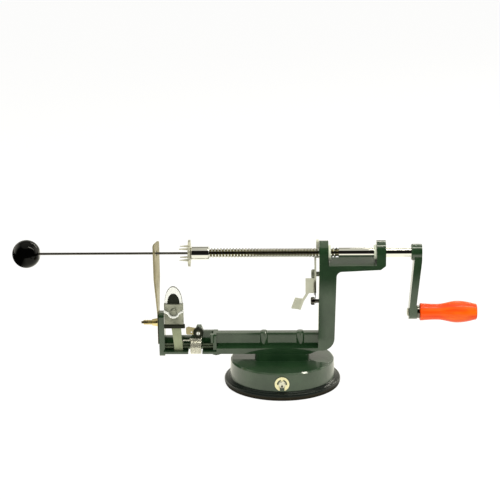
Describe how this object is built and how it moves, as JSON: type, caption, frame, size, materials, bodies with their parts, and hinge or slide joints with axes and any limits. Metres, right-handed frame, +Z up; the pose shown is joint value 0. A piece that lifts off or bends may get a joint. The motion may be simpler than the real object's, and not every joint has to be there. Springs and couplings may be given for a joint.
{
  "type": "spiral potato cutter",
  "caption": "Hand cranked spiral cutter: a lead screw feeds a potato on a skewer onto a fixed blade, over a suction base.",
  "frame": {"origin": "on the suction base's axis, at the table", "axes": "+X along the lead screw towards the crank, -Y towards the operator, +Z up"},
  "size_m": [0.464, 0.1176, 0.1489],
  "materials": {
    "green_paint": "glossy hammered stove enamel",
    "zinc_steel": "bright zinc",
    "cup_rubber": "dark moulded rubber",
    "bush_plastic": "pale moulded nylon",
    "chrome": "polished chrome",
    "dark_steel": "dark polished steel",
    "grip_lacquer": "glossy orange-red lacquer on turned wood",
    "knob_black": "black gloss",
    "blade_steel": "pale ground steel",
    "wing_brass": "yellow passivated",
    "bar_black": "dark enamel",
    "spring_steel": "bright spring wire",
    "lever_steel": "satin zinc"
  },
  "bodies": {
    "frame": {"frame_casting": "green_paint", "base_housing": "green_paint", "base_screws": "zinc_steel", "suction_cup": "cup_rubber", "front_bush": "bush_plastic", "rear_bush": "bush_plastic", "slicing_blade": "blade_steel", "blade_stud": "zinc_steel", "peeler_rod": "chrome", "latch_pin": "dark_steel", "release_pivot_screw": "zinc_steel", "spring_screw": "dark_steel", "release_spring": "spring_steel", "peeler_spring": "spring_steel"},
    "skewer": {"skewer_rod": "dark_steel", "ball_knob": "knob_black"},
    "shaft": {"lead_screw": "chrome", "fork_collar": "chrome", "fork": "zinc_steel", "crank_arm": "green_paint", "grip_washer": "dark_steel", "grip_spindle": "zinc_steel"},
    "grip": {"grip": "grip_lacquer"},
    "release_lever": {"release_lever": "lever_steel", "half_nut": "lever_steel"},
    "peeler_arm": {"peeler_arm": "zinc_steel", "peeler_head": "chrome", "peeler_crossbar": "bar_black", "peeler_screw": "zinc_steel", "peeler_blade": "lever_steel", "peeler_guard": "lever_steel", "guard_insert": "bar_black"},
    "latch": {"arm_latch": "bar_black", "latch_hook": "blade_steel"},
    "wing_nut": {"wing_nut": "wing_brass"},
    "suction_lever": {"cam_axle": "zinc_steel", "axle_clip": "zinc_steel", "suction_lever": "green_paint"},
    "pull_stud": {"pull_stud": "zinc_steel"}
  },
  "joints": [
    {"name": "feed", "type": "slide", "parent": "frame", "child": "skewer", "axis": [1, 0, 0], "range_m": [-0.0191, 0.1017]},
    {"name": "crank_turn", "type": "hinge", "parent": "skewer", "child": "shaft", "pos_m": [0.09, 0, 0.135], "axis": [1, 0, 0], "range_deg": [-2160, 11520]},
    {"name": "grip_spin", "type": "hinge", "parent": "shaft", "child": "grip", "pos_m": [0.166, 0, 0.073], "axis": [1, 0, 0], "continuous": true},
    {"name": "release_swing", "type": "hinge", "parent": "frame", "child": "release_lever", "pos_m": [0.0336, 0, 0.1129], "axis": [1, 0, 0], "range_deg": [-14, 0], "deforming": ["release_spring"]},
    {"name": "peeler_swing", "type": "hinge", "parent": "frame", "child": "peeler_arm", "pos_m": [-0.1045, -0.003, 0.0385], "axis": [1, 0, 0], "range_deg": [-28, 25], "deforming": ["peeler_spring"]},
    {"name": "latch_turn", "type": "hinge", "parent": "frame", "child": "latch", "pos_m": [-0.0842, -0.006, 0.0538], "axis": [0, 1, 0], "range_deg": [0, 35]},
    {"name": "wing_nut_turn", "type": "hinge", "parent": "frame", "child": "wing_nut", "pos_m": [-0.13, 0, 0.063], "axis": [1, 0, 0], "continuous": true},
    {"name": "suction_turn", "type": "hinge", "parent": "frame", "child": "suction_lever", "pos_m": [0, 0.055, 0.016], "axis": [0, -1, 0], "range_deg": [0, 170]},
    {"name": "stud_lift", "type": "slide", "parent": "frame", "child": "pull_stud", "axis": [0, 0, 1], "range_m": [0, 0.00301], "deforming": ["suction_cup"]}
  ],
  "couplings": [
    {"joint": "feed", "follows": "crank_turn", "m_per_rad": 0.00050532},
    {"joint": "stud_lift", "follows": "suction_turn", "m_per_rad": 0.0010111}
  ]
}
